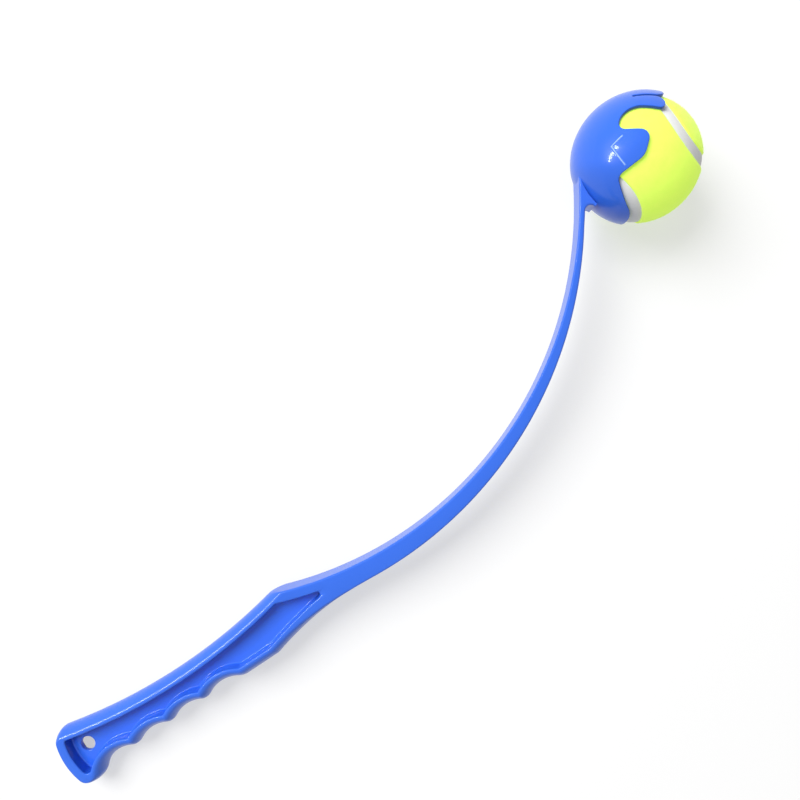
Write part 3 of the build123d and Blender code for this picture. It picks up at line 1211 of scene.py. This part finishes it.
@dataclass
class ClawCup:
    """The claw that grips the ball: a broad top finger, two narrow ones, two tabs and a lower finger."""

    plan: LauncherPlan
    placement: Placement
    finger_reach: float = 1.4
    tip_corner_radius: float = 3.0
    slit_angle: float = 42.0
    slit_width: float = 1.6
    slit_depth: float = 14.2
    slit_corner_radius: float = 5.5
    slit_end_radius: float = 0.7
    notch_angle: float = 70.4
    notch_width: float = 13.6
    notch_depth: float = 18.9
    notch_slope_radius: float = 9.4
    notch_corner_radius: float = 4.0
    tab_recess: float = 3.6
    tab_corner_radius: float = 5.0
    tab_heel_radius: float = 8.0
    root_angle: float = 125.0
    root_depth: float = 13.4
    root_slope: float = 36.0
    root_radius: float = 5.0
    lower_tip_radius: float = 15.0
    corner_gap: float = 0.2
    top_gap: int = 13
    top_step: int = 3
    rim_radius: float = 0.5
    rim_bends: tuple[int, ...] = (30, 60, 90)
    rim_margin: float = 0.95
    spacing: float = 0.85
    rim_points: int = 640
    bead_height: float = 0.24
    bead_width: float = 0.3
    bead_hollow: float = 5.0
    bead_step: float = 0.4
    bead_rows: tuple[float, ...] = (-1.0, -0.6, -0.35, -0.17, 0.0, 0.17, 0.35, 0.6, 1.0)
    bead_gap: float = 0.13
    bead_path: tuple[tuple[float, float], ...] = ((61.8, 90.2), (55.6, 100.4), (70.4, 113.2))
    lower_thinning: float = 1.15
    thinning_start: float = 0.35
    thinning_run: float = 0.4
    # painted shade on the claw's cut edge: its strength, and how much of the rim's rounding it covers
    painted_edge_shade: float = 0.75
    edge_share: float = 1 / 3

    def around(self, spot: complex, angle: float) -> tuple[float, float, float]:
        """A point of the wall in the cup's own axes, with the mouth along Z.

        Args:
            spot: sideways and towards the mouth, in millimetres.
            angle: bearing about the mouth that sideways is measured from.

        Returns:
            Its unit direction.
        """
        height = spot.imag / self.plan.cup_outer
        ring = math.sqrt(1 - height**2)
        turn = math.radians(angle) + math.asin(spot.real / (self.plan.cup_outer * ring))
        return ring * math.cos(turn), ring * math.sin(turn), height

    def half_rim(self) -> np.ndarray:
        """Draws one half of the rim.

        Returns:
            Unit directions from the middle of the top finger to the middle of the lower one.
        """
        slit = self.slit_width / 2
        beside = self.notch_width / 2
        slope = math.tan(math.radians(self.root_slope))
        tab_side = (self.root_depth - self.tab_recess) / slope
        finger_side = (self.root_depth + self.finger_reach) / slope
        tip = 1j * self.finger_reach
        tab = -1j * self.tab_recess
        slit_floor = -1j * self.slit_depth
        notch_floor = -1j * self.notch_depth
        slit_end = slit + self.slit_corner_radius + self.corner_gap
        notch_start = beside + self.tip_corner_radius + self.corner_gap
        tab_start = beside + self.tab_corner_radius + self.corner_gap
        tab_end = tab_side + self.tab_heel_radius / 2
        lower_end = finger_side + self.lower_tip_radius / 2
        slit_path = (-slit_end + tip, -slit + tip, -slit + slit_floor)
        notch_path = (-notch_start + tip, -beside + tip, -beside + notch_floor, beside + notch_floor)
        slit_radii = (self.slit_corner_radius, self.slit_end_radius)
        notch_radii = (self.tip_corner_radius, self.notch_slope_radius, self.notch_corner_radius)
        cuts = (
            (
                self.slit_angle,
                (*slit_path, slit + slit_floor, slit + tip, slit_end + tip),
                slit_radii + slit_radii[::-1],
            ),
            (
                self.notch_angle,
                (*notch_path, beside + tab, tab_start + tab),
                (*notch_radii, self.tab_corner_radius),
            ),
            (
                self.root_angle,
                (-tab_end + tab, -tab_side + tab, -1j * self.root_depth, finger_side + tip, lower_end + tip),
                (self.tab_heel_radius, self.root_radius, self.lower_tip_radius),
            ),
        )
        top_end = int(self.slit_angle) - self.top_gap
        rows = [self.around(tip, angle) for angle in range(0, top_end, self.top_step)]
        for angle, path, radii in cuts:
            rows += [self.around(spot, angle) for spot in rounded(path, radii)]
        rows.append(self.around(tip, 180))
        return np.array(rows)

    def rim(self) -> np.ndarray:
        """Draws the whole rim, mirrored about the middle plane and evenly spaced.

        Returns:
            Its unit directions.
        """
        half = self.half_rim()
        other = half[-2:0:-1] * (1, -1, 1)
        return even_loop(np.vstack([half, other]), self.rim_points)

    def bead(self) -> tuple[np.ndarray, np.ndarray]:
        """The raised line on the two side tabs.

        Returns:
            Unit directions along it, and finer points on both sides of it to model it with.
        """
        size = self.plan.cup_outer
        line = []
        for turn in (1, -1):
            corners = [
                Vector((math.sin(b) * math.cos(a), turn * math.sin(b) * math.sin(a), -math.cos(b)))
                for b, a in np.radians(self.bead_path)
            ]
            for first, last in zip(corners, corners[1:]):
                count = int((last - first).length * size / self.bead_step)
                line += [(first.lerp(last, i / count).normalized(), last - first) for i in range(count + 1)]
        middle = np.array([spot for spot, _ in line])
        across = unit(np.cross(middle, [run for _, run in line]))
        detail = np.vstack([unit(middle + across * offset / size) for offset in self.bead_rows])
        keep = [0]
        for i in range(1, len(detail)):
            if (detail[keep] @ detail[i]).max() < math.cos(self.bead_gap / size):
                keep.append(i)
        return middle, detail[keep]

    def relief(self, rows: np.ndarray, bead: np.ndarray) -> np.ndarray:
        """How far the outer face stands off the round, in millimetres.

        Args:
            rows: unit directions in the cup's axes.
            bead: directions along the tabs' raised lines.

        Returns:
            A height for each direction, below zero on the thinner lower finger and beside the raised lines.
        """
        apart = self.plan.cup_outer * angle_to(rows, bead)
        line = np.exp(-((apart / self.bead_width) ** 2)) - np.exp(-((apart / self.bead_hollow) ** 2))
        low = np.array([smooth((-row[0] - self.thinning_start) / self.thinning_run) for row in rows])
        return self.bead_height * line - self.lower_thinning * low

    def mark_painted_light(self, piece: Piece, bead: np.ndarray, rim: np.ndarray) -> None:
        """Notes a paler crest along the raised lines, a painted highlight together with scuffing, and painted
        shade on the cut edge.

        Args:
            piece: the claw, still in the cup's axes.
            bead: directions along the tabs' raised lines.
            rim: directions along the rim.
        """
        spots = np.array([corner.co for corner in piece.data.vertices]) / MM
        reach = np.linalg.norm(spots, axis=1)
        apart = reach * angle_to(unit(spots), bead)
        outside = reach > self.plan.cup_inner + self.plan.cup_wall / 2
        # paler crest along the raised lines: painted highlight together with scuffing
        note(piece, "scuff_and_highlight", np.exp(-((apart / self.bead_width) ** 2)) * outside)
        # painted shade on the cut edge, where the wall turns over
        edge = reach * angle_to(unit(spots), rim)
        note(piece, "painted_shade_share", self.painted_edge_shade * (edge < self.rim_radius * self.edge_share))

    def build(self, move: Matrix) -> Piece:
        """Models the claw as an outer sheet, a rounded rim and an inner sheet.

        Args:
            move: the move from the drawing to the frame.

        Returns:
            The finished piece.
        """
        plan = self.plan
        outer, inner = plan.cup_outer, plan.cup_inner
        rim = self.rim()
        back = np.array([0.0, 0.0, -1.0])
        margin = shifted(rim, back, self.rim_margin / outer)
        bead, detail = self.bead()
        sheet = BallSheet(margin, back, self.spacing / outer, detail)
        bench = Bench("claw_cup")
        bench.sheet(sheet.rows * (outer + self.relief(sheet.rows, bead))[:, None], sheet.triangles, len(rim))
        lift = self.relief(rim, bead)[:, None]
        steps = [(self.rim_radius, 0.0)]
        for turn in self.rim_bends:
            bend = math.radians(turn)
            steps.append((self.rim_radius * (1 - math.sin(bend)), self.rim_radius * (1 - math.cos(bend))))
        for inset, drop in steps:
            bench.pull(shifted(rim, back, inset / outer) * (outer - drop + lift))
        for inset, drop in reversed(steps):
            bench.pull(shifted(rim, back, inset / outer) * (inner + drop))
        bench.pull(margin * inner)
        piece = bench.line(sheet, inner)
        bpy.ops.object.shade_smooth_by_angle(angle=SMOOTH_ANGLE)
        self.mark_painted_light(piece, bead, rim)
        mouth = plan.mouth_axis
        across = mouth * 1j
        axes = Matrix(((across.real, 0, mouth.real), (across.imag, 0, mouth.imag), (0, 1, 0)))
        self.placement.settle(piece, move @ Matrix.Translation(in_plane(plan.ball_centre)) @ axes.to_4x4())
        return piece


# The ball


@dataclass
class FeltBall:
    """The ball's cover: two interlocking felt panels, the seam between them and the loose nap."""

    plan: LauncherPlan
    placement: Placement
    radius: float = 32.5
    felt_thickness: float = 3.0
    seam_width: float = 6.4
    seam_sink: float = 0.6
    seam_roundness: float = 0.792
    turn: tuple[float, float, float] = (21.7, -6.3, -35.0)
    seam_points: int = 520
    seam_draft: int = 2000
    seam_tuck: float = 0.2
    seam_side: float = 0.25
    seam_flank: float = 0.6
    seam_flank_drop: float = 0.05
    spacing: float = 0.95
    fray: float = 0.12
    fray_waves: float = 24.0
    puff: float = 0.1
    puff_waves: float = 9.0
    puff_sink: float = 0.05
    roll: tuple[tuple[float, float], ...] = ((1.5, 0.0), (0.9, 0.05), (0.45, 0.22), (0.15, 0.55), (0.0, 1.1))
    nap_length: float = 1.1
    nap_lengths: tuple[float, float] = (0.5, 1.2)
    nap_width: float = 0.07
    nap_spacing: float = 0.95
    nap_border: float = 0.6
    nap_mouth: float = 0.1
    nap_sink: float = 0.15
    nap_scatter: float = 0.4
    nap_bend: float = 0.35
    nap_rise: tuple[float, float] = (0.35, 0.75)
    nap_lean: float = 0.85
    seed: int = 7

    def seam(self) -> np.ndarray:
        """Draws the middle of the seam.

        Returns:
            Unit directions in the ball's own axes.
        """
        turn = np.linspace(0, 2 * math.pi, self.seam_draft, endpoint=False)
        swing = 1 - self.seam_roundness
        rise = 2 * math.sqrt(self.seam_roundness * swing)
        x = self.seam_roundness * np.cos(turn) + swing * np.cos(3 * turn)
        y = self.seam_roundness * np.sin(turn) - swing * np.sin(3 * turn)
        return even_loop(np.stack([x, y, rise * np.sin(2 * turn)], axis=1), self.seam_points)

    def matrix(self, move: Matrix) -> Matrix:
        """Turns the ball in its cup.

        Args:
            move: the move from the drawing to the frame.

        Returns:
            The move from the ball's own axes to the frame.
        """
        angles = [math.radians(angle) for angle in self.turn]
        spin = Matrix.Identity(4)
        for angle, axis in zip(angles, "XYZ"):
            spin = spin @ Matrix.Rotation(angle, 4, axis)
        return move @ Matrix.Translation(in_plane(self.plan.ball_centre)) @ spin

    def frayed(self, rows: np.ndarray) -> np.ndarray:
        """Small uneven shifts along a loop, in millimetres."""
        return np.array([self.fray * noise.noise(Vector(row) * self.fray_waves) for row in rows])

    def build_panel(self, name: str, pole: np.ndarray, matrix: Matrix) -> Piece:
        """Models one felt panel with a rolled edge.

        Args:
            name: the piece's name.
            pole: the middle of the panel, in the ball's axes.
            matrix: the move from the ball's axes to the frame.

        Returns:
            The finished panel.
        """
        seam = self.seam()
        edge = self.seam_width / 2 + self.frayed(seam)
        core = self.radius - self.felt_thickness
        margin = shifted(seam, pole, (edge + self.roll[0][0]) / self.radius)
        sheet = BallSheet(margin, pole, self.spacing / self.radius)
        bench = Bench(name)
        puff = np.array([self.puff * noise.noise(Vector(row) * self.puff_waves) for row in sheet.rows])
        puff[: len(seam)] = 0
        bench.sheet(sheet.rows * (self.radius + puff - self.puff_sink)[:, None], sheet.triangles, len(seam))
        for inset, drop in self.roll[1:]:
            bench.pull(shifted(seam, pole, (edge + inset) / self.radius) * (self.radius - drop))
        bench.pull(shifted(seam, pole, edge / self.radius) * core)
        bench.pull(margin * core)
        piece = bench.line(sheet, core)
        bpy.ops.object.shade_smooth()
        self.placement.settle(piece, matrix)
        return piece

    def build_seam(self, matrix: Matrix) -> Piece:
        """Models the rubber seam as a low ridge that fills the gap between the panels.

        Args:
            matrix: the move from the ball's axes to the frame.

        Returns:
            The finished seam.
        """
        seam = self.seam()
        side = np.array([0.0, 0.0, 1.0])
        core = self.radius - self.felt_thickness
        half = self.seam_width / 2 + self.seam_tuck
        top = self.radius - self.seam_sink
        flank = (-self.seam_flank * half, top - self.seam_flank_drop)
        section = [(-half, core), (-half, top - self.seam_side), flank, (0.0, top)]
        section += [(-reach, level) for reach, level in reversed(section[:3])]
        rings = [shifted(seam, side, reach / self.radius) * level for reach, level in section]
        bench = Bench("rubber_seam")
        bench.draw_out(rings)
        bench.pick(lambda place: True)
        bpy.ops.mesh.bridge_edge_loops()
        piece = bench.close()
        bpy.ops.object.shade_smooth_by_angle(angle=SMOOTH_ANGLE)
        self.placement.settle(piece, matrix)
        return piece

    def build_nap(self, matrix: Matrix) -> Piece:
        """Scatters the loose fibres that soften the ball's edge, where no finger presses them flat.

        Args:
            matrix: the move from the ball's axes to the frame.

        Returns:
            The fibres as one piece.
        """
        chance = random.Random(self.seed)
        back = matrix.to_3x3().inverted() @ self.placement.turn.to_3x3()
        mouth = (back @ in_plane(self.plan.mouth_axis, 1)).normalized()
        seam = self.seam()
        clear = math.cos((self.seam_width / 2 + self.nap_border) / self.radius)
        corners: list[Vector] = []
        faces: list[tuple[int, ...]] = []
        for row in spread(self.nap_spacing / self.radius):
            up = Vector(row)
            if up.dot(mouth) < self.nap_mouth or (seam @ row).max() > clear:
                continue
            lean = Vector([chance.gauss(0, 1) for _ in range(3)]).cross(up).normalized()
            wide = lean.cross(up) * self.nap_width / 2
            length = self.nap_length * chance.uniform(*self.nap_lengths)
            aside = lean * chance.uniform(-self.nap_scatter, self.nap_scatter)
            root = up * (self.radius - self.nap_sink) + aside
            middle = root + length * (self.nap_bend * up + self.nap_bend * lean)
            tip = root + length * (chance.uniform(*self.nap_rise) * up + self.nap_lean * lean)
            first = len(corners)
            corners += [root - wide, root + wide, middle - wide, middle + wide, tip]
            faces += [(first, first + 1, first + 3, first + 2), (first + 2, first + 3, first + 4)]
        mesh = bpy.data.meshes.new("felt_nap")
        mesh.from_pydata([corner * MM for corner in corners], [], faces)
        piece = bpy.data.objects.new("felt_nap", mesh)
        bpy.context.collection.objects.link(piece)
        self.placement.settle(piece, matrix)
        return piece

    def build(self, move: Matrix, finishes: Finishes) -> None:
        """Builds and dresses the whole cover.

        Args:
            move: the move from the drawing to the frame.
            finishes: the finishes to dress it in.
        """
        matrix = self.matrix(move)
        centre = matrix.translation
        axis = (matrix.to_3x3() @ Vector((0, 0, 1))).normalized()
        for node in ("felt_panel_a", "felt_panel_b"):
            low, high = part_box(node)
            lean = 1.0 if ((low + high) / 2 - centre).dot(axis) > 0 else -1.0
            panel = self.build_panel(f"{node}_napped", np.array([0.0, 0.0, lean]), matrix)
            finishes.register(panel, Slot.FELT, Body.BALL, [node])
        finishes.register(self.build_seam(matrix), Slot.SEAM, Body.BALL, ["ball_seam"])
        finishes.register(self.build_nap(matrix), Slot.FELT, Body.BALL)
        for node in ("core_half_a", "core_half_b"):
            finishes.dress(frame["nodes"][node], Slot.CORE)


# The studio


@dataclass
class Studio:
    """A white floor, soft light from the palm side and the photograph's camera, straight above."""

    camera_place: Place = (32.78, 17.07, 431.6)
    camera_turn: float = -46.64
    camera_near: float = 0.01
    focal_share: float = 750 / 800
    sensor: float = 36.0
    floor_size: float = 8.0
    floor_roughness: float = 0.9
    floor_shine: float = 0.1
    floor_white: float = 0.97
    floor_bounce: float = 0.65
    floor_glow: float = 0.55
    sky: float = 0.34
    key_power: float = 86.0
    key_size: float = 1.7
    key_place: Place = (-0.2, 1.75, 2.05)
    strip_power: float = 8.0
    strip_size: tuple[float, float] = (0.6, 0.1)
    strip_place: Place = (-0.5, 0.75, 0.7)

    def build(self) -> None:
        """Sets up floor, light and camera."""
        self.build_floor()
        self.build_light()
        self.build_camera()
        bpy.context.scene.view_settings.view_transform = "Standard"

    @staticmethod
    def seen(paint: Paint) -> Signal:
        """Tells what looks at a surface.

        Args:
            paint: the surface's material.

        Returns:
            1 where the camera, or a mirror or glass, looks at it, and 0 elsewhere.
        """
        path = paint.node("ShaderNodeLightPath", output="Is Camera Ray").socket.node
        rays = [Signal(paint, path.outputs[f"Is {ray} Ray"]) for ray in ("Camera", "Glossy", "Transmission")]
        return rays[0].most(rays[1]).most(rays[2])

    def build_floor(self) -> None:
        """A wide white floor that keeps a soft shadow."""
        bpy.ops.object.select_all(action="DESELECT")
        bpy.ops.mesh.primitive_plane_add(size=self.floor_size)
        floor = bpy.context.object
        floor.name = "floor"
        paint = Paint("white_floor")
        seen = self.seen(paint)
        level = self.floor_bounce + (self.floor_white - self.floor_bounce) * seen
        paint.set(Base_Color=level, Roughness=self.floor_roughness, Specular_IOR_Level=self.floor_shine)
        glow = paint.node("ShaderNodeEmission", {}, {"Color": WHITE, "Strength": 1.0})
        surface = Signal(paint, paint.shader.outputs["BSDF"])
        mixed = paint.node("ShaderNodeMixShader", {}, {0: seen * self.floor_glow, 1: surface, 2: glow})
        paint.plug(paint.output.inputs["Surface"], mixed)
        floor.data.materials.append(paint.material)

    def build_light(self) -> None:
        """A pale sky all round, a soft lamp from the palm side and a strip that only shows as glints."""
        world = bpy.data.worlds.new("studio_sky")
        bpy.context.scene.world = world
        world.use_nodes = True
        work = NodeWork(world.node_tree)
        diffuse = work.node("ShaderNodeLightPath", output="Is Diffuse Ray")
        inputs = {"Value": diffuse, "To Min": 1.0, "To Max": self.sky}
        level = work.node("ShaderNodeMapRange", {}, inputs, "Result")
        back = world.node_tree.nodes["Background"]
        work.plug(back.inputs["Strength"], level)
        work.plug(back.inputs["Color"], WHITE)
        key = self.hang_lamp("key_light", self.key_power, (self.key_size, self.key_size), self.key_place)
        key.visible_glossy = False
        strip = self.hang_lamp("strip_light", self.strip_power, self.strip_size, self.strip_place)
        strip.visible_diffuse = False

    @staticmethod
    def hang_lamp(name: str, power: float, size: tuple[float, float], place: Place) -> Piece:
        """Hangs a flat lamp that faces the object, with its long side along X.

        Args:
            name: the lamp's name.
            power: its power in watts.
            size: its two sides in metres.
            place: its middle.

        Returns:
            The lamp.
        """
        light = bpy.data.lights.new(name, "AREA")
        light.shape = "RECTANGLE"
        light.energy = power
        light.size, light.size_y = size
        lamp = bpy.data.objects.new(name, light)
        lamp.location = place
        lamp.rotation_euler = (-math.atan2(place[1], place[2]), 0, 0)
        bpy.context.collection.objects.link(lamp)
        return lamp

    def build_camera(self) -> None:
        """The photograph's camera, looking straight down."""
        lens = bpy.data.cameras.new("photo_camera")
        lens.sensor_fit = "HORIZONTAL"
        lens.sensor_width = self.sensor
        lens.lens = self.sensor * self.focal_share
        lens.clip_start = self.camera_near
        camera = bpy.data.objects.new("photo_camera", lens)
        camera.location = Vector(self.camera_place) * MM
        camera.rotation_euler = (0, 0, math.radians(self.camera_turn))
        bpy.context.collection.objects.link(camera)
        bpy.context.scene.camera = camera


def main() -> None:
    """Builds the object's pieces in order, then the studio."""
    logging.basicConfig(level=logging.INFO, format="%(name)s: %(message)s")
    plan = LauncherPlan()
    placement = Placement()
    mount = next(row for row in frame["record"]["mounts"] if row["name"] == "hang_hole")
    move = placement.matrix(plan.hole, mount["pos_m"])
    finishes = Finishes()
    body = LauncherBody(plan, placement).build(move)
    finishes.register(body, Slot.PLASTIC, Body.LAUNCHER, ["handle", "throwing_arm"])
    cup = ClawCup(plan, placement).build(move)
    finishes.register(cup, Slot.PLASTIC, Body.LAUNCHER, ["ball_cup"])
    FeltBall(plan, placement).build(move, finishes)
    Studio().build()


if __name__ == "__main__":
    main()
